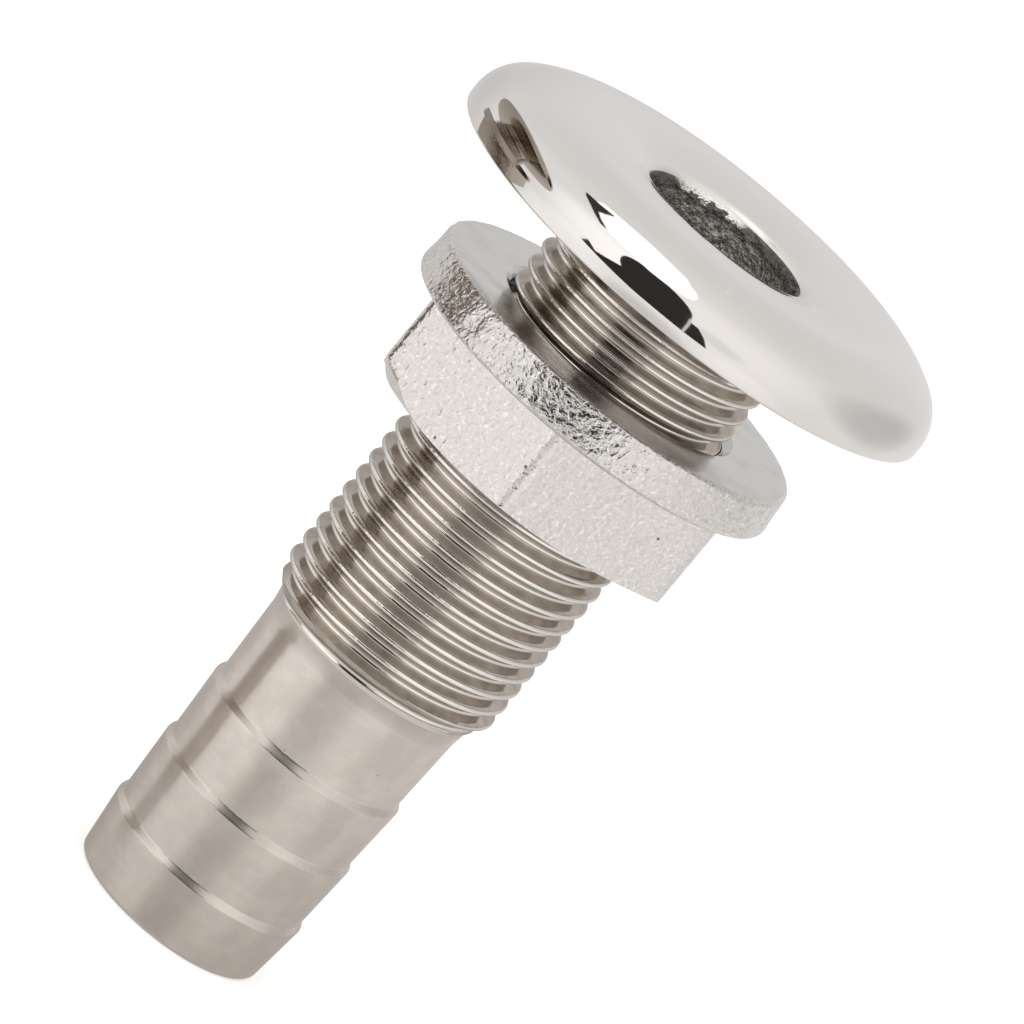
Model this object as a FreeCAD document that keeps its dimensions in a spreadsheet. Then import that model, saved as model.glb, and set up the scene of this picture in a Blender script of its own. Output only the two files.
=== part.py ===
import FreeCAD, Part

import math
import os

import Sketcher

# Thru-hull fitting, right-handed G 3/8 shank with a 13 mm hose tail, and its flanged hex nut.
# Millimetres. +Z runs along the shank from the open end of the hose tail, at the origin, to the
# mushroom head, which sits outside the hull. One corner of the hex nut points along -Y.

SIZES = {
    # hose tail, from its open end upwards
    "tail_end_diameter": 13.74,
    "tail_end_chamfer": 0.2,
    "barb_diameter": 14.6,
    "barb_root_diameter": 14.1,
    "barb_pitch": 5.04,
    "first_barb_height": 4.25,
    "barb_rise": 0.44,
    "neck_lower_diameter": 14.0,
    "neck_upper_diameter": 14.45,
    "neck_upper_height": 20.2,
    "neck_end_diameter": 14.8,
    "neck_end_height": 21.3,
    # pipe thread on the shank: G 3/8, Whitworth form
    "thread_diameter": 16.66,
    "thread_pitch": 1.337,
    "thread_depth": 0.856,
    "thread_root_radius": 0.1837,
    "thread_start_height": 22.7,
    "thread_groove_height": 20.74,
    "thread_turns": 23.5,
    "relief_diameter": 14.8,
    "relief_length": 1.65,
    "relief_shoulder_diameter": 17.4,
    "relief_shoulder_depth": 0.25,
    # mushroom head: rim, shoulder and a crown that dips towards the mouth; its slope is in degrees
    "head_underside_height": 53.15,
    "head_diameter": 35.3,
    "head_wall_height": 0.7,
    "rim_radius": 2.78,
    "rim_lower_radius": 0.2,
    "shoulder_slope": 33,
    "shoulder_radius": 8.2,
    "dish_radius": 21.2,
    # water passage, open from end to end
    "passage_diameter": 11.5,
    "mouth_radius": 1.0,
    # flanged hex nut
    "nut_height_on_shank": 36.8,
    "nut_length": 9.22,
    "nut_flange_thickness": 2.85,
    "nut_flange_lower_diameter": 27.1,
    "nut_flange_upper_diameter": 26.7,
    "nut_flange_edge_radius": 0.3,
    "nut_across_flats": 22.5,
    "nut_corner_radius": 0.9,
    "nut_end_face_diameter": 22.0,
    "nut_end_chamfer_height": 0.65,
    "nut_bore_diameter": 16.78,
    "nut_countersink_diameter": 17.8,
    "nut_countersink_depth": 0.45,
}

BARB_COUNT = 3
WHITWORTH_HALF_ANGLE = math.radians(27.5)
GROOVE_OVERCUT = 0.15  # how far past the crests the thread's cutter reaches
ROUND_TO = 1e-2  # edges this close to a height, radius or axis are taken to be on it
SHORTEST_UPRIGHT = 1.0

doc = FreeCAD.newDocument("thru_hull_fitting")
sheet = doc.addObject("Spreadsheet::Sheet", "dimensions")
for row, (alias, value) in enumerate(SIZES.items(), start=1):
    sheet.set(f"A{row}", alias.replace("_", " "))
    sheet.set(f"B{row}", str(value))
    sheet.setAlias(f"B{row}", alias)
doc.recompute()


class Length:
    """A length or an angle from the sheet: its present value, and the expression that gives it."""

    def __init__(self, value, text):
        self.value = value
        self.text = text

    def combined(self, other, sign, value):
        text = other.text if isinstance(other, Length) else str(other)
        return Length(value, f"({self.text} {sign} {text})")

    def __add__(self, other):
        return self.combined(other, "+", self.value + amount(other))

    def __sub__(self, other):
        return self.combined(other, "-", self.value - amount(other))

    def __mul__(self, other):
        return self.combined(other, "*", self.value * amount(other))

    def __truediv__(self, other):
        return self.combined(other, "/", self.value / amount(other))

    def root(self):
        return Length(self.value ** 0.5, f"sqrt({self.text})")

    def sine(self):
        return Length(math.sin(math.radians(self.value)), f"sin({self.text})")

    def cosine(self):
        return Length(math.cos(math.radians(self.value)), f"cos({self.text})")


def amount(length):
    return length.value if isinstance(length, Length) else length


def size(alias):
    return Length(SIZES[alias], f"dimensions.{alias}")


NOTHING = Length(0.0, "0")


def bind(sketch, constraint, length):
    """Add a constraint and drive its value from the sheet."""
    index = sketch.addConstraint(constraint)
    sketch.setExpression(f"Constraints[{index}]", length.text)


def pin_corner(sketch, edge, across, along):
    """Hold the start point of an edge at its distances from the sketch's two axes."""
    if amount(across) == 0:
        sketch.addConstraint(Sketcher.Constraint("PointOnObject", edge, 1, -2))
    else:
        bind(sketch, Sketcher.Constraint("DistanceX", -1, 1, edge, 1, amount(across)), across)
    if amount(along) == 0:
        sketch.addConstraint(Sketcher.Constraint("PointOnObject", edge, 1, -1))
    else:
        bind(sketch, Sketcher.Constraint("DistanceY", -1, 1, edge, 1, amount(along)), along)


def arc_between(start, end, radius):
    """Arc of the given radius, under half a turn, that runs counter-clockwise from start to end."""
    chord = end - start
    middle = (start + end) / 2
    leftward = FreeCAD.Vector(-chord.y, chord.x, 0).normalize()
    centre = middle + leftward * (radius ** 2 - (chord.Length / 2) ** 2) ** 0.5
    bulge = centre - leftward * radius
    return Part.Arc(start, bulge, end)


def sketch_on(body, plane_role, name):
    sketch = body.newObject("Sketcher::SketchObject", name)
    plane = next(item for item in body.Origin.OriginFeatures if item.Role == plane_role)
    sketch.AttachmentSupport = [(plane, "")]
    sketch.MapMode = "FlatFace"
    return sketch


def profile(body, name, corners, arcs=None):
    """Closed sketch on the body's XZ plane: x is the distance from the axis, y the height.

    corners are (radius, height) pairs, counter-clockwise. arcs maps the number of the corner
    that an outward arc starts from to the arc's radius. Every other edge is straight.
    """
    arcs = arcs or {}
    sketch = sketch_on(body, "XZ_Plane", name)
    points = [FreeCAD.Vector(amount(across), amount(along), 0) for across, along in corners]
    for number, start in enumerate(points):
        end = points[(number + 1) % len(points)]
        if number in arcs:
            sketch.addGeometry(arc_between(start, end, amount(arcs[number])))
        else:
            sketch.addGeometry(Part.LineSegment(start, end))
    for number in range(len(points)):
        following = (number + 1) % len(points)
        sketch.addConstraint(Sketcher.Constraint("Coincident", number, 2, following, 1))
    for number, (across, along) in enumerate(corners):
        pin_corner(sketch, number, across, along)
    for number, radius in arcs.items():
        bind(sketch, Sketcher.Constraint("Radius", number, amount(radius)), radius)
    return sketch


def turned(body, kind, name, sketch):
    """Revolve a profile once around the body's axis, as added or removed material."""
    feature = body.newObject(f"PartDesign::{kind}", name)
    feature.Profile = sketch
    feature.ReferenceAxis = (sketch, ["V_Axis"])
    feature.Angle = 360
    doc.recompute()
    return feature


def ring_edges(shape, radius, height):
    """Names of the circular edges of one radius at one height around the body's axis."""
    names = []
    for number, edge in enumerate(shape.Edges, start=1):
        if not isinstance(edge.Curve, Part.Circle):
            continue
        circle = edge.Curve
        off_radius = abs(circle.Radius - amount(radius))
        off_place = (circle.Center - FreeCAD.Vector(0, 0, amount(height))).Length
        if off_radius < ROUND_TO and off_place < ROUND_TO:
            names.append(f"Edge{number}")
    return names


def rounded(body, name, base, edges, radius):
    """Fillet some edges of a feature, with a radius driven from the sheet."""
    if not edges:
        raise RuntimeError(f"{name}: no edge to round")
    feature = body.newObject("PartDesign::Fillet", name)
    feature.Base = (base, edges)
    feature.Radius = amount(radius)
    feature.setExpression("Radius", radius.text)
    doc.recompute()
    return feature


# ---- hull fitting: mushroom head, threaded shank and hose tail, one casting ----

fitting = doc.addObject("PartDesign::Body", "thru_hull_body")
fitting.Label = "thru_hull_body"

underside = size("head_underside_height")
head_radius = size("head_diameter") / 2
passage_radius = size("passage_diameter") / 2
thread_radius = size("thread_diameter") / 2
relief_radius = size("relief_diameter") / 2
neck_end_radius = size("neck_end_diameter") / 2
relief_start = underside - size("relief_length")
relief_shoulder_radius = size("relief_shoulder_diameter") / 2
relief_end = underside + size("relief_shoulder_depth")
chamfer_rise = thread_radius - relief_radius
wall_top = underside + size("head_wall_height")
rim_radius = size("rim_radius")
shoulder_slope = size("shoulder_slope")
shoulder_radius = size("shoulder_radius")
dish_radius = size("dish_radius")
rim_end = (
    head_radius - rim_radius + rim_radius * shoulder_slope.sine(),
    wall_top + rim_radius * shoulder_slope.cosine(),
)
crest = (
    rim_end[0] - shoulder_radius * shoulder_slope.sine(),
    rim_end[1] - shoulder_radius * shoulder_slope.cosine() + shoulder_radius,
)
dip = crest[0] - passage_radius
mouth_height = crest[1] - dish_radius + (dish_radius * dish_radius - dip * dip).root()


def tail_corners():
    """Outside of the hose tail: each barb is a steep face on its upper side over a long taper."""
    end_radius = size("tail_end_diameter") / 2
    end_chamfer = size("tail_end_chamfer")
    corners = [
        (passage_radius, NOTHING),
        (end_radius - end_chamfer, NOTHING),
        (end_radius, end_chamfer),
    ]
    for number in range(BARB_COUNT):
        crest_height = size("first_barb_height") + size("barb_pitch") * number
        last = number == BARB_COUNT - 1
        root = size("neck_lower_diameter") / 2 if last else size("barb_root_diameter") / 2
        corners.append((size("barb_diameter") / 2, crest_height))
        corners.append((root, crest_height + size("barb_rise")))
    return corners


outline = tail_corners() + [
    (size("neck_upper_diameter") / 2, size("neck_upper_height")),
    (neck_end_radius, size("neck_end_height")),
    (thread_radius, size("thread_start_height")),
    (thread_radius, relief_start - chamfer_rise),
    (relief_radius, relief_start),
    (relief_radius, relief_end),
    (relief_shoulder_radius, underside),
    (head_radius, underside),
    (head_radius, wall_top),
    rim_end,
    crest,
    (passage_radius, mouth_height),
]
mouth_corner = len(outline) - 1
head_arcs = {
    mouth_corner - 3: rim_radius,
    mouth_corner - 2: shoulder_radius,
    mouth_corner - 1: dish_radius,
}
fitting_profile = profile(fitting, "fitting_profile", outline, head_arcs)
casting = turned(fitting, "Revolution", "casting", fitting_profile)

lower_rim = rounded(
    fitting, "lower_rim", casting, ring_edges(casting.Shape, head_radius, underside),
    size("rim_lower_radius"),
)
mouth = rounded(
    fitting, "mouth", lower_rim, ring_edges(lower_rim.Shape, passage_radius, mouth_height),
    size("mouth_radius"),
)


def thread_groove_profile(body, name, root_radius, depth, height):
    """Section of one thread groove: Whitworth flanks and a round root, cut past the crests."""
    tip_radius = size("thread_root_radius")
    tangent_across = tip_radius * (1 - math.sin(WHITWORTH_HALF_ANGLE))
    tangent_along = tip_radius * math.cos(WHITWORTH_HALF_ANGLE)
    open_across = depth + GROOVE_OVERCUT
    open_along = tangent_along + (open_across - tangent_across) * math.tan(WHITWORTH_HALF_ANGLE)
    corners = [
        (root_radius + tangent_across, height - tangent_along),
        (root_radius + open_across, height - open_along),
        (root_radius + open_across, height + open_along),
        (root_radius + tangent_across, height + tangent_along),
    ]
    return profile(body, name, corners, {3: tip_radius})


groove = thread_groove_profile(
    fitting, "thread_groove", thread_radius - size("thread_depth"), size("thread_depth"),
    size("thread_groove_height"),
)
thread = fitting.newObject("PartDesign::SubtractiveHelix", "thread")
thread.Profile = groove
thread.ReferenceAxis = (groove, ["V_Axis"])
thread.Mode = "pitch-turns-angle"
thread.setExpression("Pitch", size("thread_pitch").text)
thread.setExpression("Turns", size("thread_turns").text)
thread.LeftHanded = False
thread.Reversed = False
doc.recompute()

# ---- flange nut: hexagon with a round flange on its head side, one casting ----

nut = doc.addObject("PartDesign::Body", "flange_nut")
nut.Label = "flange_nut"

nut_length = size("nut_length")
flange_start = nut_length - size("nut_flange_thickness")
flange_lower_radius = size("nut_flange_lower_diameter") / 2
flange_upper_radius = size("nut_flange_upper_diameter") / 2
nut_bore_radius = size("nut_bore_diameter") / 2
countersink_radius = size("nut_countersink_diameter") / 2
countersink_depth = size("nut_countersink_depth")


def hexagon(body, name, across_flats):
    """Hexagon around the origin on the body's XY plane, with one pair of corners on its Y axis."""
    sketch = sketch_on(body, "XY_Plane", name)
    corner_radius = across_flats / math.sqrt(3)
    reach = FreeCAD.Vector(0, amount(corner_radius), 0)
    turn = FreeCAD.Rotation(FreeCAD.Vector(0, 0, 1), 60)
    corners = [reach]
    for _ in range(5):
        corners.append(turn.multVec(corners[-1]))
    for number, start in enumerate(corners):
        sketch.addGeometry(Part.LineSegment(start, corners[(number + 1) % 6]))
    guide = sketch.addGeometry(
        Part.Circle(FreeCAD.Vector(0, 0, 0), FreeCAD.Vector(0, 0, 1), amount(corner_radius)), True
    )
    sketch.addConstraint(Sketcher.Constraint("Coincident", guide, 3, -1, 1))
    bind(sketch, Sketcher.Constraint("Radius", guide, amount(corner_radius)), corner_radius)
    for number in range(6):
        sketch.addConstraint(Sketcher.Constraint("Coincident", number, 2, (number + 1) % 6, 1))
        sketch.addConstraint(Sketcher.Constraint("PointOnObject", number, 1, guide))
    for number in range(1, 6):
        sketch.addConstraint(Sketcher.Constraint("Equal", 0, number))
    sketch.addConstraint(Sketcher.Constraint("PointOnObject", 0, 1, -2))
    return sketch


hex_sketch = hexagon(nut, "hex_outline", size("nut_across_flats"))
hex_prism = nut.newObject("PartDesign::Pad", "hex_prism")
hex_prism.Profile = hex_sketch
hex_prism.Length = amount(flange_start)
hex_prism.setExpression("Length", flange_start.text)
doc.recompute()

upright_edges = [
    f"Edge{number}" for number, edge in enumerate(hex_prism.Shape.Edges, start=1)
    if abs(edge.Vertexes[0].Z - edge.Vertexes[-1].Z) > SHORTEST_UPRIGHT
]
hex_corners = rounded(nut, "hex_corners", hex_prism, upright_edges, size("nut_corner_radius"))

end_chamfer_profile = profile(nut, "end_chamfer_profile", [
    (size("nut_end_face_diameter") / 2, NOTHING),
    (flange_lower_radius, NOTHING),
    (flange_lower_radius, size("nut_end_chamfer_height")),
])
turned(nut, "Groove", "end_chamfer", end_chamfer_profile)

flange_profile = profile(nut, "flange_profile", [
    (NOTHING, flange_start),
    (flange_lower_radius, flange_start),
    (flange_upper_radius, nut_length),
    (NOTHING, nut_length),
])
turned(nut, "Revolution", "flange", flange_profile)

bore_profile = profile(nut, "bore_profile", [
    (NOTHING, NOTHING),
    (countersink_radius, NOTHING),
    (nut_bore_radius, countersink_depth),
    (nut_bore_radius, nut_length - countersink_depth),
    (countersink_radius, nut_length),
    (NOTHING, nut_length),
])
bore = turned(nut, "Groove", "bore", bore_profile)

flange_edges = ring_edges(bore.Shape, flange_upper_radius, nut_length)
flange_edges += ring_edges(bore.Shape, flange_lower_radius, flange_start)
rounded(nut, "flange_edges", bore, flange_edges, size("nut_flange_edge_radius"))

nut.setExpression("Placement.Base.z", size("nut_height_on_shank").text)
doc.recompute()

# ---- check every object, then write one file for each piece ----

for item in doc.Objects:
    if "Invalid" in item.State or "Error" in item.State:
        raise RuntimeError(f"{item.Label} failed: {item.State}")

os.makedirs("parts", exist_ok=True)
for piece in (fitting, nut):
    if piece.Shape.isNull() or not piece.Shape.isValid() or len(piece.Shape.Solids) != 1:
        raise RuntimeError(f"{piece.Label} is not one sound solid")
    piece.Shape.exportStep(f"parts/{piece.Label}.step")
    box = piece.Shape.BoundBox
    print(f"{piece.Label}: volume {piece.Shape.Volume:.1f} mm3, height {box.ZMin:.2f} to {box.ZMax:.2f}")
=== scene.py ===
"""Looks of the thru-hull fitting: its meshes, finishes, surroundings and camera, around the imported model.

Profiles are written in millimetres, as (distance from the shank's axis, height above the open end of
the tail), and become metres when a mesh is made. Azimuths are in degrees, 0 towards the camera and
positive towards +X. Elevations are in degrees above the horizon.
"""
import math

import bmesh
import bpy
import numpy as np
from mathutils import Matrix, Vector, noise


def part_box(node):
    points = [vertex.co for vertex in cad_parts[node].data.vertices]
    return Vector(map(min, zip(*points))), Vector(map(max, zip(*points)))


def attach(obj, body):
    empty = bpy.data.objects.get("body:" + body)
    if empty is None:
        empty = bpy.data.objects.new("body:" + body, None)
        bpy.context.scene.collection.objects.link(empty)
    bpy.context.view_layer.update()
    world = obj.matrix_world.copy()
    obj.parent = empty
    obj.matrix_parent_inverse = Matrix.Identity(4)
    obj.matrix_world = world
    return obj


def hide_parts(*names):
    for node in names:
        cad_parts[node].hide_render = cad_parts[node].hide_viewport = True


MM = 0.001

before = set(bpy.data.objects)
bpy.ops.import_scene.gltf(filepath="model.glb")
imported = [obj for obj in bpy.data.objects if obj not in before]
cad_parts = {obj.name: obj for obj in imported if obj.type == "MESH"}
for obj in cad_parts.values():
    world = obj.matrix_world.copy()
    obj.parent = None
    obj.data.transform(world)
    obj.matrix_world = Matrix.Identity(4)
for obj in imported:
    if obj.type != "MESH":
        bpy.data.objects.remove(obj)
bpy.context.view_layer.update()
fitting_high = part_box("thru_hull_body")[1]
nut_low, nut_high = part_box("flange_nut")

# ---------------------------------------------------------------- profiles and meshes


def line(start, end, step):
    """Points from start up to, and not counting, end, no further apart than step."""
    length = math.dist(start, end)
    count = max(1, math.ceil(length / step))
    return [
        (start[0] + (end[0] - start[0]) * i / count, start[1] + (end[1] - start[1]) * i / count)
        for i in range(count)
    ]


def arc(centre, radius, first, last, count):
    """Points on an arc, from one angle in degrees to another, both counted."""
    angles = [math.radians(first + (last - first) * i / count) for i in range(count + 1)]
    return [
        (centre[0] + radius * math.cos(a), centre[1] + radius * math.sin(a)) for a in angles
    ]


def eased(corners, radius, pieces=3):
    """The same line with each corner between its ends rounded over."""
    path = [corners[0]]
    for before, corner, after in zip(corners, corners[1:], corners[2:]):
        reach = min(
            radius, math.dist(before, corner) * EASED_SHARE, math.dist(corner, after) * EASED_SHARE
        )
        towards = [
            tuple(corner[k] + (other[k] - corner[k]) * reach / math.dist(corner, other) for k in (0, 1))
            for other in (before, after)
        ]
        for i in range(pieces + 1):
            t = i / pieces
            path.append(tuple(
                towards[0][k] * (1 - t) ** 2 + corner[k] * 2 * t * (1 - t) + towards[1][k] * t ** 2
                for k in (0, 1)
            ))
    path.append(corners[-1])
    return path


def stepped(corners, step):
    """A line through corners, cut up so that no run is longer than step."""
    path = []
    for start, end in zip(corners, corners[1:]):
        path += line(start, end, step)
    path.append(corners[-1])
    return path


def wrapped_mesh(name, sections, columns, materials):
    """A closed mesh of rings around the Z axis.

    Each section is (radii, heights, turn_rows, material number). radii and heights have a row for
    each ring and a column for each step round. turn_rows is 0 for flat rings; in a helix it is the
    number of rows in one turn, and the last column joins the first column that many rows on.
    """
    points, faces, face_material = [], [], []
    first_row = 0
    angles = np.arange(columns) * 2 * math.pi / columns
    for radii, heights, turn_rows, material_number in sections:
        rows = len(radii)
        across = radii * np.cos(angles)
        along = radii * np.sin(angles)
        points.append(np.stack([across, along, heights], -1).reshape(-1, 3))
        row = np.arange(rows - 1)[:, None]
        column = np.arange(columns)[None, :]
        last = column == columns - 1
        following = np.where(last, 0, column + 1)
        low = np.where(last, np.minimum(row + turn_rows, rows - 1), row)
        high = np.where(last, np.minimum(row + 1 + turn_rows, rows - 1), row + 1)
        corners = np.stack([
            row * columns + column, low * columns + following,
            high * columns + following, (row + 1) * columns + column,
        ], -1)
        corners += first_row * columns
        faces.append(corners.reshape(-1, 4))
        face_material.append(np.full((rows - 1) * columns, material_number))
        first_row += rows
    mesh = bpy.data.meshes.new(name)
    mesh.from_pydata(np.concatenate(points) * MM, [], np.concatenate(faces).tolist())
    for material in materials:
        mesh.materials.append(material)
    mesh.polygons.foreach_set("material_index", np.concatenate(face_material))
    work = bmesh.new()
    work.from_mesh(mesh)
    bmesh.ops.remove_doubles(work, verts=work.verts, dist=WELD)
    bmesh.ops.dissolve_degenerate(work, edges=work.edges, dist=WELD)
    bmesh.ops.recalc_face_normals(work, faces=work.faces)
    work.to_mesh(mesh)
    work.free()
    mesh.polygons.foreach_set("use_smooth", [True] * len(mesh.polygons))
    mesh.set_sharp_from_angle(angle=math.radians(SHARP_EDGE))
    return mesh


def rings(path, columns):
    """Radii and heights of flat rings that follow a profile."""
    profile = np.array(path)
    return np.repeat(profile[:, :1], columns, 1), np.repeat(profile[:, 1:], columns, 1)


def grain(radii, heights, spacing, amount):
    """Adds an as-cast surface to some rings: radii grow and shrink with a noise of that spacing."""
    columns = radii.shape[1]
    angles = np.arange(columns) * 2 * math.pi / columns
    bumpy = radii.copy()
    for i in range(radii.shape[0]):
        for j in range(columns):
            place = Vector((
                radii[i, j] * math.cos(angles[j]), radii[i, j] * math.sin(angles[j]), heights[i, j]
            ))
            bumpy[i, j] += amount[i] * noise.fractal(place / spacing, *GRAIN_FRACTAL)
    return bumpy


def add_piece(name, mesh, body):
    piece = bpy.data.objects.new(name, mesh)
    bpy.context.scene.collection.objects.link(piece)
    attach(piece, body)
    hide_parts(body)
    return piece


WELD = 1e-6
SHARP_EDGE = 38
# the most of a side that a rounding may take, from each of its ends
EASED_SHARE = 1 / 2.2
# fall-off, step in scale, and number of octaves
GRAIN_FRACTAL = (0.7, 2.1, 3)

# ---------------------------------------------------------------- node materials

# the head
STEEL = (0.735, 0.71, 0.69)
HAZY_STEEL = (0.725, 0.705, 0.688)
# the thread
FLANK_STEEL = (0.56, 0.515, 0.465)
STAINED_FLANK = (0.47, 0.43, 0.39)
BURNISHED_STEEL = (0.82, 0.785, 0.745)
THREAD_EDGE_TINT = (0.66, 0.64, 0.62, 1)
# the hose tail
TAIL_STEEL = (0.67, 0.615, 0.56)
COOL_TAIL = (0.615, 0.575, 0.54)
STAINED_TAIL = (0.6, 0.545, 0.495)
RIDGED_TAIL = (0.71, 0.66, 0.61)
TAIL_EDGE_TINT = (0.85, 0.83, 0.81, 1)
# the passage
PASSAGE_STEEL = (0.30, 0.285, 0.265)
PASSAGE_PEAKS = (0.52, 0.50, 0.47)
# painted shade, just inside the mouth below the lip
SHADED_PASSAGE = (0.15, 0.14, 0.13)
BURR_STEEL = (0.86, 0.84, 0.81)
# the nut
CAST_STEEL = (0.675, 0.65, 0.627)
# painted shade for the cast skin's hollows, then painted glints for its peaks
CAST_SHADE_IN_HOLLOWS = (0.595, 0.57, 0.547)
CAST_GLINT_ON_PEAKS = (0.84, 0.823, 0.803)
# painted shade inside the nut's pores
PORE_SHADE_COLOUR = (0.16, 0.15, 0.14)
FACED_STEEL = (0.56, 0.55, 0.535)


class Finish:
    """A Principled material, and short ways to add the nodes that drive it."""

    def __init__(self, name, colour, roughness):
        self.material = bpy.data.materials.new(name)
        self.material.use_nodes = True
        self.tree = self.material.node_tree
        self.surface = self.tree.nodes["Principled BSDF"]
        self.surface.inputs["Metallic"].default_value = 1.0
        self.surface.inputs["Roughness"].default_value = roughness
        self.surface.inputs["Base Color"].default_value = (*colour, 1)
        place = self.add("ShaderNodeTexCoord").outputs["Object"]
        self.place_mm = self.scaled(place, (1 / MM, 1 / MM, 1 / MM))

    def add(self, kind, links=None, **settings):
        """A node with its settings, and its inputs by name: a socket to link or a value to hold."""
        node = self.tree.nodes.new(kind)
        for name, value in settings.items():
            setattr(node, name, value)
        for name, value in (links or {}).items():
            if isinstance(value, bpy.types.NodeSocket):
                self.tree.links.new(value, node.inputs[name])
            else:
                node.inputs[name].default_value = value
        return node

    def scaled(self, vector, factors):
        node = self.add("ShaderNodeVectorMath", {0: vector, 1: factors}, operation="MULTIPLY")
        return node.outputs["Vector"]

    def noise(self, scale, stretch=(1, 1, 1), detail=2.0, distortion=0.0):
        """Noise with about this many bumps to the millimetre."""
        node = self.add("ShaderNodeTexNoise", {
            "Vector": self.scaled(self.place_mm, stretch), "Scale": scale, "Detail": detail,
            "Distortion": distortion,
        })
        return node.outputs["Fac"]

    def spread(self, value, low, high, to_low=0.0, to_high=1.0):
        """Brings the values between low and high to a new range, with soft ends."""
        node = self.add("ShaderNodeMapRange", {
            "Value": value, "From Min": low, "From Max": high, "To Min": to_low, "To Max": to_high,
        }, interpolation_type="SMOOTHSTEP")
        return node.outputs["Result"]

    def multiply(self, first, second):
        return self.add("ShaderNodeMath", {0: first, 1: second}, operation="MULTIPLY").outputs["Value"]

    def plus(self, first, second):
        return self.add("ShaderNodeMath", {0: first, 1: second}, operation="ADD").outputs["Value"]

    def from_axis(self):
        """Distance from the shank's axis, in millimetres."""
        return self.add("ShaderNodeVectorMath", {
            0: self.scaled(self.place_mm, (1, 1, 0)),
        }, operation="LENGTH").outputs["Value"]

    def coordinate(self, name):
        return self.add("ShaderNodeSeparateXYZ", {0: self.place_mm}).outputs[name]

    def mix(self, share, first, second):
        node = self.add("ShaderNodeMix", {"Factor": share}, data_type="RGBA")
        for socket, colour in (("A_Color", first), ("B_Color", second)):
            entry = next(s for s in node.inputs if s.identifier == socket)
            if isinstance(colour, bpy.types.NodeSocket):
                self.tree.links.new(colour, entry)
            else:
                entry.default_value = (*colour, 1)
        return next(s for s in node.outputs if s.identifier == "Result_Color")

    def bump(self, height, depth_mm, strength=1.0):
        """Adds relief of that depth to what the normal already has."""
        links = {"Height": height, "Distance": depth_mm * MM, "Strength": strength}
        normal = self.surface.inputs["Normal"]
        if normal.is_linked:
            links["Normal"] = normal.links[0].from_socket
        self.drive("Normal", self.add("ShaderNodeBump", links).outputs["Normal"])

    def drive(self, name, socket):
        self.tree.links.new(socket, self.surface.inputs[name])


def polished_steel():
    """The mushroom head: mirror-polished but for the mouth's lip, with pinholes and faint waves."""
    finish = Finish("mirror_polished_steel", STEEL, 0.05)
    haze = finish.noise(0.35, detail=2)
    unpolished = finish.spread(finish.from_axis(), PASSAGE_RADIUS + 1.3, PASSAGE_RADIUS + 0.6, 0, 0.24)
    finish.drive("Roughness", finish.plus(finish.spread(haze, 0.35, 0.75, 0.04, 0.06), unpolished))
    finish.drive("Base Color", finish.mix(finish.spread(haze, 0.3, 0.7), STEEL, HAZY_STEEL))
    finish.bump(finish.noise(0.16, detail=1), 0.006)
    pits = finish.add("ShaderNodeTexVoronoi", {"Vector": finish.place_mm, "Scale": 0.42})
    rare = finish.spread(pits.outputs["Color"], 0.72, 0.74)
    pinhole = finish.multiply(rare, finish.spread(pits.outputs["Distance"], 0.075, 0.02))
    finish.bump(pinhole, -0.05)
    return finish.material


def turned_thread_steel():
    """The cut thread: dull brown flanks between bright roots and bright, slightly torn crests."""
    finish = Finish("turned_thread_steel", FLANK_STEEL, 0.14)
    tool_marks = finish.noise(2.2, (0.12, 0.12, 9), 3)
    finish.drive("Roughness", finish.spread(tool_marks, 0.3, 0.7, 0.08, 0.18))
    stain = finish.spread(finish.noise(0.9, (1, 1, 2), 5), 0.42, 0.68)
    flanks = finish.mix(stain, FLANK_STEEL, STAINED_FLANK)
    from_axis = finish.from_axis()
    crest = finish.spread(from_axis, THREAD_RADIUS - 0.12, THREAD_RADIUS - 0.05)
    root_radius = THREAD_RADIUS - THREAD_DEPTH
    root = finish.spread(from_axis, root_radius + 0.14, root_radius + 0.05)
    crests = finish.mix(crest, flanks, BURNISHED_STEEL)
    finish.drive("Base Color", finish.mix(root, crests, BURNISHED_STEEL))
    finish.bump(tool_marks, 0.002)
    torn = finish.noise(1.6, (1, 1, 0.5), 4)
    finish.bump(finish.multiply(crest, torn), 0.05)
    finish.surface.inputs["Specular Tint"].default_value = THREAD_EDGE_TINT
    return finish.material


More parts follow.
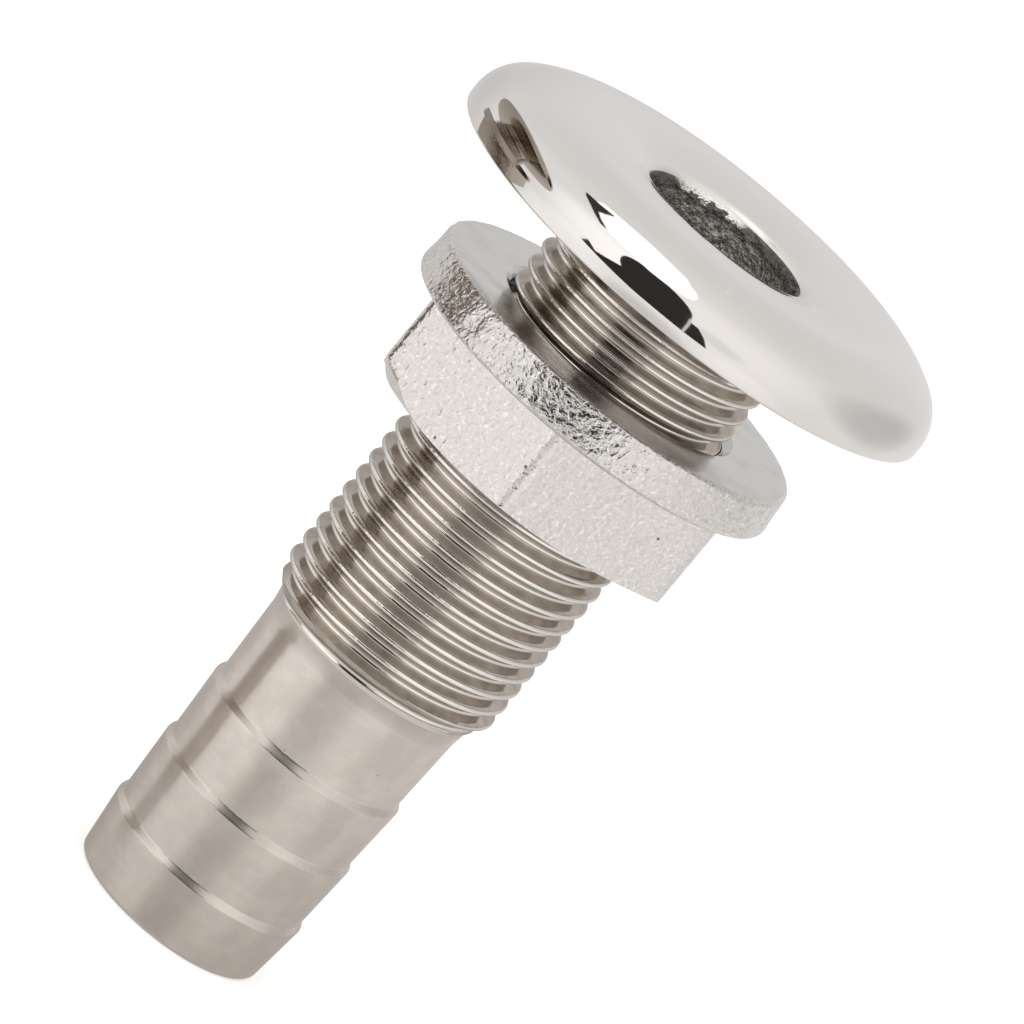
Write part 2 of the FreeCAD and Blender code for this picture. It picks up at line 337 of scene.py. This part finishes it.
def turned_tail_steel():
    """The hose tail: satin and faintly stained, turned round the axis so that highlights stretch
    along it. The barbs' steps are rougher."""
    finish = Finish("turned_tail_steel", TAIL_STEEL, 0.22)
    lines = finish.noise(2.4, (0.07, 0.07, 8), 4)
    clouds = finish.noise(0.45, (1, 1, 0.8), 4)
    upright = finish.add("ShaderNodeSeparateXYZ", {
        0: finish.add("ShaderNodeTexCoord").outputs["Normal"],
    })
    on_step = finish.spread(upright.outputs["Z"], 0.2, 0.45, 0, 0.13)
    finish.drive("Roughness", finish.plus(finish.spread(clouds, 0.3, 0.7, 0.19, 0.25), on_step))
    patches = finish.noise(0.9, (0.6, 0.6, 1), 4)
    patchy = finish.mix(finish.spread(patches, 0.35, 0.65), TAIL_STEEL, COOL_TAIL)
    stained = finish.mix(finish.spread(clouds, 0.4, 0.65), patchy, STAINED_TAIL)
    ridges = finish.spread(lines, 0.4, 0.8, 0, 0.35)
    finish.drive("Base Color", finish.mix(ridges, stained, RIDGED_TAIL))
    finish.bump(lines, 0.0012)
    finish.bump(clouds, 0.012)
    nicks = finish.add("ShaderNodeTexVoronoi", {"Vector": finish.place_mm, "Scale": 0.6})
    rare = finish.spread(nicks.outputs["Color"], 0.70, 0.72)
    finish.bump(finish.multiply(rare, finish.spread(nicks.outputs["Distance"], 0.07, 0.03)), -0.05)
    finish.surface.inputs["Specular Tint"].default_value = TAIL_EDGE_TINT
    finish.surface.inputs["Anisotropic"].default_value = 0.75
    finish.surface.inputs["Anisotropic Rotation"].default_value = 0.25
    tangent = finish.add("ShaderNodeTangent", direction_type="RADIAL", axis="Z")
    finish.drive("Tangent", tangent.outputs["Tangent"])
    return finish.material


def cast_passage_steel():
    """The water passage: as cast, dark and grainy. A ragged bright burr hangs into the far side
    of its mouth. Just below the lip the colour darkens with painted shade."""
    finish = Finish("cast_passage_steel", PASSAGE_STEEL, 0.45)
    sand = finish.noise(3.4, detail=5)
    fine = finish.noise(9, detail=2)
    cast = finish.mix(finish.spread(sand, 0.35, 0.65), PASSAGE_STEEL, PASSAGE_PEAKS)
    ragged = finish.spread(finish.noise(1.5, detail=4), 0.3, 0.7, 0.1, BURR_DEPTH)
    on_far_side = finish.multiply(
        finish.spread(finish.coordinate("Y"), 3.2, 4.8), finish.spread(finish.coordinate("X"), 1.2, 0)
    )
    hangs_to = finish.multiply(finish.multiply(ragged, on_far_side), -1)
    below_lip = finish.plus(finish.coordinate("Z"), -LIP_EDGE)
    height_in_burr = finish.plus(below_lip, finish.multiply(hangs_to, -1))
    burr = finish.multiply(on_far_side, finish.spread(height_in_burr, -0.03, 0.03))
    # painted shade: the passage's colour darkens towards SHADED_PASSAGE just below the lip, where shade
    # falls into the mouth
    shade_below_lip = finish.spread(below_lip, -1.6, -0.3)
    shaded = finish.mix(shade_below_lip, cast, SHADED_PASSAGE)
    finish.drive("Base Color", finish.mix(burr, shaded, BURR_STEEL))
    cast_roughness = finish.spread(fine, 0.3, 0.7, 0.32, 0.6)
    finish.drive("Roughness", finish.plus(cast_roughness, finish.multiply(burr, -0.25)))
    finish.bump(sand, 0.16)
    finish.bump(fine, 0.03)
    return finish.material


def cast_nut_steel():
    """The nut's outside: investment cast and tumbled bright. The rim's skin is the coarser.
    Its fine speckle is painted light: glints on the peaks, shade in the hollows and in the pores.
    """
    finish = Finish("cast_nut_steel", CAST_STEEL, 0.2)
    peel = finish.noise(2.1, detail=3, distortion=0.4)
    fine = finish.noise(4.2, detail=2)
    on_rim = finish.spread(finish.coordinate("Z"), RIM_FOOT - 0.3, RIM_FOOT + 0.2, 0.55, 1)
    finish.drive("Roughness", finish.spread(fine, 0.3, 0.7, 0.06, 0.15))
    # painted shade in the fine noise's hollows and painted glints on its peaks, in place of sparkle from
    # the light
    shaded_hollows = finish.mix(finish.spread(fine, 0.48, 0.3), CAST_STEEL, CAST_SHADE_IN_HOLLOWS)
    glinting_peaks = finish.mix(finish.spread(fine, 0.58, 0.7), shaded_hollows, CAST_GLINT_ON_PEAKS)
    pores = finish.add("ShaderNodeTexVoronoi", {"Vector": finish.place_mm, "Scale": 0.55})
    rare = finish.spread(pores.outputs["Color"], 0.64, 0.66)
    # the rare pores are painted dark: painted shade in pits that have no depth in the mesh
    shaded_pore = finish.multiply(rare, finish.spread(pores.outputs["Distance"], 0.075, 0.045))
    finish.drive("Base Color", finish.mix(shaded_pore, glinting_peaks, PORE_SHADE_COLOUR))
    finish.bump(finish.multiply(peel, on_rim), 0.12)
    finish.bump(finish.multiply(fine, on_rim), 0.035)
    return finish.material


def faced_nut_steel():
    """The nut's machined faces: concentric tool marks, crossed by handling scratches."""
    finish = Finish("faced_nut_steel", FACED_STEEL, 0.2)
    rings_of_marks = finish.add("ShaderNodeTexNoise", {
        "W": finish.from_axis(), "Scale": 9, "Detail": 3,
    }, noise_dimensions="1D")
    scratches = finish.noise(1.2, (0.5, 3, 1), 3)
    smears = finish.noise(0.45, detail=3)
    finish.drive("Roughness", finish.spread(smears, 0.35, 0.7, 0.12, 0.26))
    finish.bump(rings_of_marks.outputs["Fac"], 0.003)
    finish.bump(scratches, 0.006)
    finish.bump(smears, 0.02)
    return finish.material


# ---------------------------------------------------------------- hull fitting

FITTING_COLUMNS = 192
PASSAGE_RADIUS = 5.75
TAIL_END_RADIUS = 6.87
TAIL_END_CHAMFER = 0.2
BARB_RADIUS = 7.3
BARB_ROOT_RADIUS = 7.05
FIRST_BARB = 4.25
BARB_PITCH = 5.04
BARB_RISE = 0.44
NECK_RADIUS = 7.0
NECK_TOP = (7.225, 20.2)
SHANK_START = (7.4, 21.3)
THREAD_RADIUS = 8.33
THREAD_START = 22.7
THREAD_PITCH = 1.337
THREAD_DEPTH = 0.856
THREAD_ROOT_RADIUS = 0.1837
THREAD_GROOVE = 20.74
HALF_ANGLE = math.radians(27.5)
RELIEF_RADIUS = 7.4
RELIEF_START = 51.5
SHOULDER = (8.7, 53.15)
SHOULDER_DEPTH = 0.25
HEAD_RADIUS = fitting_high.x / MM
HEAD_WALL = 0.7
RIM_RADIUS = 2.78
LOWER_RIM_RADIUS = 0.2
SHOULDER_SLOPE = 33
SHOULDER_RADIUS = 8.2
DISH_RADIUS = 21.2
MOUTH_RADIUS = 1.0
POLISHED_LIP = 145
LIP_EDGE = 56.4
BURR_DEPTH = 0.75
EDGE_EASING = 0.1
CREST_EASING = 0.05
TAIL_STEP = 2.5
HEAD_STEP = 1.5
MOUTH_STEP = 0.22
MOUTH_REACH = 12
PASSAGE_STEP = 1.1
PASSAGE_GRAIN = 0.12
PASSAGE_GRAIN_SPACING = 0.5
PASSAGE_GRAIN_STARTS = 0.25


def tail_outline():
    corners = [
        (PASSAGE_RADIUS, 0), (TAIL_END_RADIUS - TAIL_END_CHAMFER, 0),
        (TAIL_END_RADIUS, TAIL_END_CHAMFER),
    ]
    for number in range(3):
        crest = FIRST_BARB + BARB_PITCH * number
        root = NECK_RADIUS if number == 2 else BARB_ROOT_RADIUS
        corners += [(BARB_RADIUS, crest), (root, crest + BARB_RISE)]
    return corners + [NECK_TOP, SHANK_START]


def thread_rows():
    """One groove and one crest, as (height from the middle of the groove, radius) pairs."""
    root = THREAD_RADIUS - THREAD_DEPTH
    bend = math.pi / 2 - HALF_ANGLE
    rows = [
        (THREAD_ROOT_RADIUS * math.sin(a), root + THREAD_ROOT_RADIUS * (1 - math.cos(a)))
        for a in (0, bend / 2, bend)
    ]
    flank_top = rows[-1][0] + (THREAD_RADIUS - rows[-1][1]) * math.tan(HALF_ANGLE)
    rows.append(((rows[-1][0] + flank_top) / 2, (rows[-1][1] + THREAD_RADIUS) / 2))
    rows.append((flank_top - CREST_EASING * math.tan(HALF_ANGLE), THREAD_RADIUS - CREST_EASING))
    rows.append((flank_top + CREST_EASING, THREAD_RADIUS))
    mirrored = [(THREAD_PITCH - height, radius) for height, radius in reversed(rows[1:])]
    return rows + mirrored


def shank_section(material_number):
    """Helical rings for the thread, held inside the shank's ends and its two chamfers."""
    rows = thread_rows()
    start = THREAD_GROOVE - THREAD_PITCH
    turns = math.ceil((RELIEF_START - start) / THREAD_PITCH) + 1
    offsets = np.array([turn * THREAD_PITCH + row[0] for turn in range(turns) for row in rows])
    radii = np.array([row[1] for row in rows] * turns)
    climb = np.arange(FITTING_COLUMNS) / FITTING_COLUMNS * THREAD_PITCH
    raw = start + offsets[:, None] + climb[None, :]
    heights = np.clip(raw, SHANK_START[1], RELIEF_START)
    chamfer = THREAD_RADIUS - RELIEF_RADIUS
    envelope = np.interp(
        heights,
        [SHANK_START[1], THREAD_START, RELIEF_START - chamfer, RELIEF_START],
        [SHANK_START[0], THREAD_RADIUS, THREAD_RADIUS, RELIEF_RADIUS],
    )
    outside = (raw <= SHANK_START[1]) | (raw >= RELIEF_START)
    shape = np.where(outside, THREAD_RADIUS, np.repeat(radii[:, None], FITTING_COLUMNS, 1))
    return np.minimum(shape, envelope), heights, len(rows), material_number


def head_outline():
    """From the relief under the head, round the rim and over the crown, to the mouth's two ends.

    The first line is polished. The second goes on round the lip, where the casting was left rough.
    """
    underside = SHOULDER[1]
    rim_centre = (HEAD_RADIUS - RIM_RADIUS, underside + HEAD_WALL)
    slope = math.radians(SHOULDER_SLOPE)
    beyond = SHOULDER_RADIUS - RIM_RADIUS
    shoulder_centre = (
        rim_centre[0] - beyond * math.sin(slope), rim_centre[1] - beyond * math.cos(slope),
    )
    crest_height = shoulder_centre[1] + SHOULDER_RADIUS
    dish_centre = (shoulder_centre[0], crest_height - DISH_RADIUS)
    lip_across = dish_centre[0] - PASSAGE_RADIUS - MOUTH_RADIUS
    lip_reach = DISH_RADIUS - MOUTH_RADIUS
    lip_centre = (
        PASSAGE_RADIUS + MOUTH_RADIUS, dish_centre[1] + math.sqrt(lip_reach ** 2 - lip_across ** 2),
    )
    lip_start = 90 + math.degrees(math.asin(lip_across / lip_reach))
    lower_rim = (HEAD_RADIUS - LOWER_RIM_RADIUS, underside + LOWER_RIM_RADIUS)
    outline = stepped([
        (RELIEF_RADIUS, RELIEF_START), (RELIEF_RADIUS, underside + SHOULDER_DEPTH), SHOULDER,
    ], HEAD_STEP)
    outline += stepped([SHOULDER, (lower_rim[0], underside)], HEAD_STEP)[1:-1]
    outline += arc(lower_rim, LOWER_RIM_RADIUS, -90, 0, 4)
    outline += arc(rim_centre, RIM_RADIUS, 0, 90 - SHOULDER_SLOPE, 18)
    outline += arc(shoulder_centre, SHOULDER_RADIUS, 90 - SHOULDER_SLOPE, 90, 14)[1:]
    outline += arc(dish_centre, DISH_RADIUS, 90, lip_start, 10)[1:]
    outline += arc(lip_centre, MOUTH_RADIUS, lip_start, POLISHED_LIP, 8)[1:]
    rough = arc(lip_centre, MOUTH_RADIUS, POLISHED_LIP, 180, 6)
    return outline, rough


def fitting_mesh():
    tail = rings(stepped(eased(tail_outline(), EDGE_EASING), TAIL_STEP), FITTING_COLUMNS)
    polished, lip = head_outline()
    head = rings(polished, FITTING_COLUMNS)
    mouth_height = lip[-1][1]
    near_mouth = stepped([lip[-1], (PASSAGE_RADIUS, mouth_height - MOUTH_REACH)], MOUTH_STEP)
    deep = stepped([near_mouth[-1], (PASSAGE_RADIUS, 0)], PASSAGE_STEP)
    passage_radii, passage_heights = rings(lip + near_mouth[1:] + deep[1:], FITTING_COLUMNS)
    from_end = np.minimum(lip[0][1] - passage_heights[:, 0], passage_heights[:, 0])
    passage_radii = grain(
        passage_radii, passage_heights, PASSAGE_GRAIN_SPACING,
        PASSAGE_GRAIN * np.clip(from_end / PASSAGE_GRAIN_STARTS, 0, 1),
    )
    sections = [
        (*tail, 0, 0),
        shank_section(1),
        (*head, 0, 2),
        (passage_radii, passage_heights, 0, 3),
    ]
    finishes = [turned_tail_steel(), turned_thread_steel(), polished_steel(), cast_passage_steel()]
    return wrapped_mesh("hull_fitting", sections, FITTING_COLUMNS, finishes)


fitting = add_piece("hull_fitting", fitting_mesh(), "thru_hull_body")

# ---------------------------------------------------------------- flange nut

NUT_COLUMNS = 432
NUT_BASE = nut_low.z / MM
NUT_LENGTH = (nut_high.z - nut_low.z) / MM
FLANGE_THICKNESS = 2.85
FLANGE_START = NUT_LENGTH - FLANGE_THICKNESS
RIM_FOOT = NUT_BASE + FLANGE_START
FLANGE_LOWER_RADIUS = nut_high.x / MM
FLANGE_UPPER_RADIUS = 13.35
FLANGE_EDGE = 0.3
HALF_FLATS = 11.25
HEX_CORNER_RADIUS = 0.9
END_FACE_RADIUS = 11.0
END_CHAMFER = 0.65
WORN_CORNER = 210
WORN_SPREAD = 12
WORN_DEPTH = 1.15
NUT_BORE_RADIUS = 8.39
COUNTERSINK_RADIUS = 8.9
COUNTERSINK_DEPTH = 0.45
GRAIN_SPACING = 0.65
RIM_GRAIN = 0.05
HEX_GRAIN = 0.02
END_FACE_STEP = 0.35
RIM_STEP = 0.17
FACE_STEP = 0.6
CHAMFER_ROWS = 8
FLAT_ROWS = 30
LEDGE_ROWS = 7


def hex_radius(angles):
    """Distance from the axis to the nut's rounded hexagon, which has a flat on the X axis."""
    half_sector = math.pi / 6
    from_flat = np.abs((angles + half_sector) % (2 * half_sector) - half_sector)
    inner_flats = HALF_FLATS - HEX_CORNER_RADIUS
    corner_centre = inner_flats / math.cos(half_sector)
    rounding_starts = math.atan(inner_flats * math.tan(half_sector) / HALF_FLATS)
    from_corner = half_sector - from_flat
    across = np.minimum(corner_centre * np.sin(from_corner), HEX_CORNER_RADIUS)
    rounded = corner_centre * np.cos(from_corner) + np.sqrt(HEX_CORNER_RADIUS ** 2 - across ** 2)
    return np.where(from_flat > rounding_starts, rounded, HALF_FLATS / np.cos(from_flat))


def nut_mesh():
    """The nut from its end face out over the hexagon and flange, and back down through its bore.

    One corner of the hexagon's end is worn round, where the chamfer reaches further up the flats.
    """
    angles = np.arange(NUT_COLUMNS) * 2 * math.pi / NUT_COLUMNS
    hexagon = hex_radius(angles)
    from_worn = (angles - math.radians(WORN_CORNER) + math.pi) % (2 * math.pi) - math.pi
    worn = np.exp(-(from_worn / math.radians(WORN_SPREAD)) ** 2)
    chamfer_end = END_CHAMFER * (hexagon - END_FACE_RADIUS) / (FLANGE_LOWER_RADIUS - END_FACE_RADIUS)
    chamfer_end += WORN_DEPTH * worn
    end_face = rings(
        stepped([(COUNTERSINK_RADIUS, 0), (END_FACE_RADIUS, 0)], END_FACE_STEP), NUT_COLUMNS
    )
    share = np.linspace(0, 1, CHAMFER_ROWS)[:, None]
    chamfer = (
        END_FACE_RADIUS + share * (hexagon - END_FACE_RADIUS), share ** (1 + worn) * chamfer_end,
    )
    share = np.linspace(0, 1, FLAT_ROWS)[:, None]
    flats = (
        np.repeat(hexagon[None, :], FLAT_ROWS, 0), chamfer_end + share * (FLANGE_START - chamfer_end),
    )
    inner = FLANGE_LOWER_RADIUS - FLANGE_EDGE
    share = np.linspace(0, 1, LEDGE_ROWS)[:, None]
    ledge = (hexagon + share * (inner - hexagon), np.full((LEDGE_ROWS, NUT_COLUMNS), FLANGE_START))
    rim = arc((inner, FLANGE_START + FLANGE_EDGE), FLANGE_EDGE, -90, 0, 4)
    top_centre = (FLANGE_UPPER_RADIUS - FLANGE_EDGE, NUT_LENGTH - FLANGE_EDGE)
    rim += line(rim[-1], (FLANGE_UPPER_RADIUS, top_centre[1]), RIM_STEP)[1:]
    rim += arc(top_centre, FLANGE_EDGE, 0, 90, 4)
    rim = rings(rim, NUT_COLUMNS)
    face_radii, face_heights = rings(stepped([
        (top_centre[0], NUT_LENGTH), (COUNTERSINK_RADIUS, NUT_LENGTH),
        (NUT_BORE_RADIUS, NUT_LENGTH - COUNTERSINK_DEPTH),
        (NUT_BORE_RADIUS, COUNTERSINK_DEPTH), (COUNTERSINK_RADIUS, 0),
    ], FACE_STEP), NUT_COLUMNS)
    outside = [np.concatenate(part) for part in zip(chamfer, flats, ledge, rim)]
    on_rim = np.arange(len(outside[0])) >= len(outside[0]) - len(rim[0])
    amount = np.where(on_rim, RIM_GRAIN, HEX_GRAIN) * (np.arange(len(outside[0])) > 0)
    outside[0] = grain(outside[0], outside[1], GRAIN_SPACING, amount)
    face_radii[0] = outside[0][-1]
    sections = [(*end_face, 0, 1), (*outside, 0, 0), (face_radii, face_heights, 0, 1)]
    sections = [(radii, heights + NUT_BASE, turn, number) for radii, heights, turn, number in sections]
    return wrapped_mesh("nut", sections, NUT_COLUMNS, [cast_nut_steel(), faced_nut_steel()])


nut = add_piece("nut", nut_mesh(), "flange_nut")

# ---------------------------------------------------------------- surroundings


def direction(azimuth, elevation):
    """Unit vector from the object; azimuth 0 is towards the camera, and +90 towards +X."""
    a, e = math.radians(azimuth), math.radians(elevation)
    return Vector((math.sin(a) * math.cos(e), -math.cos(a) * math.cos(e), math.sin(e)))


def stage_object(name, mesh, shader_colour, strength):
    """A studio prop that shows in reflections only."""
    material = bpy.data.materials.new(name)
    material.use_nodes = True
    material.node_tree.nodes.clear()
    glow = material.node_tree.nodes.new("ShaderNodeEmission")
    glow.inputs["Color"].default_value = (*shader_colour, 1)
    glow.inputs["Strength"].default_value = strength
    output = material.node_tree.nodes.new("ShaderNodeOutputMaterial")
    material.node_tree.links.new(glow.outputs["Emission"], output.inputs["Surface"])
    mesh.materials.append(material)
    prop = bpy.data.objects.new(name, mesh)
    bpy.context.scene.collection.objects.link(prop)
    reflect_only(prop)
    return prop


def reflect_only(prop):
    prop.visible_camera = False
    prop.visible_diffuse = False
    prop.visible_shadow = False
    prop.visible_transmission = False


def show_by(prop, share):
    """Makes a prop as solid as that share says, from 0 to 1, and clear elsewhere."""
    tree = prop.data.materials[0].node_tree
    clear = tree.nodes.new("ShaderNodeBsdfTransparent")
    blend = tree.nodes.new("ShaderNodeMixShader")
    tree.links.new(share, blend.inputs["Fac"])
    tree.links.new(clear.outputs["BSDF"], blend.inputs[1])
    tree.links.new(tree.nodes["Emission"].outputs["Emission"], blend.inputs[2])
    tree.links.new(blend.outputs["Shader"], tree.nodes["Material Output"].inputs["Surface"])


def card(name, distance, corners, colour, strength=1.0):
    """A panel far from the object. Each corner says how many degrees it lies from overhead:
    to the right, and towards the camera."""
    mesh = bpy.data.meshes.new(name)
    centre = Vector((0, 0, fitting_high.z))
    points = []
    for right, towards in corners:
        azimuth = math.degrees(math.atan2(right, towards))
        points.append(centre + direction(azimuth, 90 - math.hypot(right, towards)) * distance)
    mesh.from_pydata(points, [], [list(range(len(points)))])
    stage_object(name, mesh, colour, strength)


# the tent's opening towards the camera: a plain arch over a wide dark foot
ARCH_MIDDLE = -8
ARCH_HALF_WIDTH = 21
ARCH_FOOT = 66
ARCH_HEIGHT = 36
ARCH_CORNERS = 17
opening_arch = [
    (ARCH_MIDDLE + ARCH_HALF_WIDTH * math.cos(a), ARCH_FOOT - ARCH_HEIGHT * math.sin(a))
    for a in np.linspace(math.pi, 0, ARCH_CORNERS)
]
card("tent_opening", 0.9, [
    (-61, 67), (-52, 61), (-50, 72), (-42, 71), *opening_arch, (19, 65), (27.5, 75), (37, 88),
    (20, 94), (0, 96), (-25, 93), (-48, 80),
], (0.035, 0.031, 0.028))
card("door_edge", 0.84, [(12, 60), (13.5, 60), (20, 95), (18, 95)], (0.8, 0.78, 0.76))
card("softbox", 0.7, [
    (-18, -21), (-8, -19), (0, -14), (3, -5), (5, 8), (5, 19), (3, 26), (-2, 31), (-11, 33),
    (-22, 28), (-30, 22), (-28, 8), (-27, -2), (-24, -13),
], (1, 0.995, 0.985), 1.5)
card("softbox_edge", 0.6, [
    (-16, -17), (-24, -17), (-27, -10), (-29, 0), (-30.5, 9), (-31, 20), (-28, 21), (-28, 11),
    (-26, 1), (-21, -7),
], (0.04, 0.04, 0.04))


def neighbour():
    """A larger fitting of the same kind stands beside this one, out of the camera's sight."""
    steel = Finish("neighbour_steel", NEIGHBOUR_STEEL, NEIGHBOUR_ROUGHNESS).material
    for source in (fitting, nut):
        copy = bpy.data.objects.new(f"neighbour_{source.name}", source.data.copy())
        for number, material in enumerate(source.data.materials):
            if material.name != "turned_tail_steel":
                copy.data.materials[number] = steel
        bpy.context.scene.collection.objects.link(copy)
        copy.matrix_world = Matrix.Translation(NEIGHBOUR_PLACE) @ Matrix.Scale(NEIGHBOUR_SCALE, 4)
        reflect_only(copy)


NEIGHBOUR_PLACE = Vector((-0.0506, -0.0033, -0.009))
NEIGHBOUR_SCALE = 1.42
NEIGHBOUR_STEEL = (0.40, 0.35, 0.30)
NEIGHBOUR_ROUGHNESS = 0.16
neighbour()


def disc(name, radius, segments):
    mesh = bpy.data.meshes.new(name)
    work = bmesh.new()
    bmesh.ops.create_circle(work, cap_ends=True, segments=segments, radius=radius)
    work.to_mesh(mesh)
    work.free()
    return mesh


def floor():
    """A plain white floor. Reflections see the tent in its place."""
    mesh = disc("floor", FLOOR_RADIUS, 128)
    material = bpy.data.materials.new("pale_floor")
    material.use_nodes = True
    surface = material.node_tree.nodes["Principled BSDF"]
    surface.inputs["Base Color"].default_value = FLOOR_COLOUR
    surface.inputs["Roughness"].default_value = 0.9
    surface.inputs["Specular IOR Level"].default_value = 0
    surface.inputs["Emission Color"].default_value = (1, 1, 1, 1)
    surface.inputs["Emission Strength"].default_value = FLOOR_GLOW
    mesh.materials.append(material)
    ground = bpy.data.objects.new("floor", mesh)
    bpy.context.scene.collection.objects.link(ground)
    ground.visible_glossy = False


FLOOR_RADIUS = 1.6
FLOOR_COLOUR = (0.93, 0.93, 0.93, 1)
FLOOR_GLOW = 0.34
floor()


def shade_on_floor():
    """The shade round the foot of the fitting, which only its own reflections show."""
    mesh = disc("shade_on_floor", SHADE_RADIUS, 64)
    prop = stage_object("shade_on_floor", mesh, SHADE_COLOUR, 1)
    tree = mesh.materials[0].node_tree
    place = tree.nodes.new("ShaderNodeTexCoord").outputs["Object"]
    distance = tree.nodes.new("ShaderNodeVectorMath")
    distance.operation = "LENGTH"
    tree.links.new(place, distance.inputs[0])
    fade = tree.nodes.new("ShaderNodeMapRange")
    fade.inputs["From Min"].default_value = FULL_SHADE_RADIUS
    fade.inputs["From Max"].default_value = SHADE_RADIUS
    fade.inputs["To Min"].default_value = SHADE_STRENGTH
    fade.inputs["To Max"].default_value = 0
    tree.links.new(distance.outputs["Value"], fade.inputs["Value"])
    show_by(prop, fade.outputs["Result"])
    prop.location = SHADE_PLACE


SHADE_RADIUS = 0.075
FULL_SHADE_RADIUS = 0.008
SHADE_STRENGTH = 0.48
SHADE_COLOUR = (0.36, 0.32, 0.28)
# a hair below the floor
SHADE_PLACE = (0.006, 0, -0.0002)
shade_on_floor()


def front_paper():
    """White paper in front of the head, for the views from behind.

    Its three sheets stand one behind the other, the narrower the nearer to the head's front edge,
    just inside the line where the rim starts to mirror what is in front of it. They show only to
    reflections that travel towards -Y, so the rim still mirrors the tent's dark opening.
    """
    points, faces = [], []
    for half_width in PAPER_HALF_WIDTHS:
        y = MIRROR_CURVE * min(half_width, MIRROR_CURVE_END) ** 2 - MIRROR_FRONT
        first = len(points)
        points += [
            Vector((side * half_width, y, z)) * MM
            for side, z in ((-1, PAPER_FOOT), (1, PAPER_FOOT), (1, PAPER_TOP), (-1, PAPER_TOP))
        ]
        faces.append(range(first, first + 4))
    mesh = bpy.data.meshes.new("front_paper")
    mesh.from_pydata(points, [], faces)
    prop = stage_object("front_paper", mesh, TENT_COLOUR, 1)
    show_by(prop, mesh.materials[0].node_tree.nodes.new("ShaderNodeNewGeometry").outputs["Backfacing"])


# that line on the rim, in millimetres: y = MIRROR_CURVE * x squared - MIRROR_FRONT, and where it ends
MIRROR_FRONT = 16.5
MIRROR_CURVE = 0.0275
MIRROR_CURVE_END = 12.4
PAPER_HALF_WIDTHS = (4, 8, 60)
PAPER_FOOT = 55
PAPER_TOP = 118
TENT_COLOUR = (1, 0.985, 0.972)
front_paper()


def white_tent():
    """Soft light from every side, with a few broad brighter and dimmer patches."""
    world = bpy.data.worlds.new("white_tent")
    world.use_nodes = True
    tree = world.node_tree
    background = tree.nodes["Background"]
    background.inputs["Color"].default_value = (*TENT_COLOUR, 1)
    place = tree.nodes.new("ShaderNodeTexCoord").outputs["Generated"]
    level = None
    for azimuth, elevation, inner, outer, factor in TENT_PATCHES:
        closeness = tree.nodes.new("ShaderNodeVectorMath")
        closeness.operation = "DOT_PRODUCT"
        closeness.inputs[1].default_value = direction(azimuth, elevation)
        tree.links.new(place, closeness.inputs[0])
        patch = tree.nodes.new("ShaderNodeMapRange")
        patch.interpolation_type = "SMOOTHSTEP"
        patch.inputs["From Min"].default_value = math.cos(math.radians(outer))
        patch.inputs["From Max"].default_value = math.cos(math.radians(inner))
        patch.inputs["To Min"].default_value = 1
        patch.inputs["To Max"].default_value = factor
        tree.links.new(closeness.outputs["Value"], patch.inputs["Value"])
        product = tree.nodes.new("ShaderNodeMath")
        product.operation = "MULTIPLY"
        tree.links.new(patch.outputs["Result"], product.inputs[0])
        if level is None:
            product.inputs[1].default_value = TENT_LEVEL
        else:
            tree.links.new(level, product.inputs[1])
        level = product.outputs["Value"]
    tree.links.new(level, background.inputs["Strength"])
    bpy.context.scene.world = world


TENT_LEVEL = 0.95
# azimuth and elevation of the middle, the angles where a patch is full and where it ends, its factor
TENT_PATCHES = [
    (118, 17, 3, 36, 0.72),
    (27, 20, 3, 16, 0.85),
    (-40, 27, 8, 42, 1.24),
    (10, 35, 15, 75, 1.18),
    (180, 22, 15, 62, 0.89),
    (-155, -12, 5, 40, 0.8),
    (-5, -32, 8, 26, 0.75),
    (-52, -22, 8, 32, 1.22),
    (43, -20, 5, 26, 1.12),
]
white_tent()

# ---------------------------------------------------------------- camera

CAMERA_ELEVATION = math.radians(14.78)
CAMERA_ROLL = math.radians(39.57)
CAMERA_DISTANCE = 0.5047
CAMERA_LENS = 285.7
SENSOR_WIDTH = 36
AIM = Vector((0.00081, 0, 0.03416))


def add_camera():
    """Seen from the front and slightly above, with the fitting leaning to the right in the frame."""
    sideways = Vector((1, 0, 0))
    upwards = Vector((0, math.sin(CAMERA_ELEVATION), math.cos(CAMERA_ELEVATION)))
    backwards = Vector((0, -math.cos(CAMERA_ELEVATION), math.sin(CAMERA_ELEVATION)))
    right = sideways * math.cos(CAMERA_ROLL) + upwards * math.sin(CAMERA_ROLL)
    up = upwards * math.cos(CAMERA_ROLL) - sideways * math.sin(CAMERA_ROLL)
    camera = bpy.data.cameras.new("camera")
    camera.lens = CAMERA_LENS
    camera.sensor_width = SENSOR_WIDTH
    camera.clip_start = 0.01
    holder = bpy.data.objects.new("camera", camera)
    bpy.context.scene.collection.objects.link(holder)
    turn = Matrix((right, up, backwards)).transposed()
    holder.matrix_world = Matrix.Translation(AIM + backwards * CAMERA_DISTANCE) @ turn.to_4x4()
    bpy.context.scene.camera = holder


add_camera()
bpy.context.scene.view_settings.view_transform = "Standard"
bpy.context.scene.cycles.glossy_bounces = 8
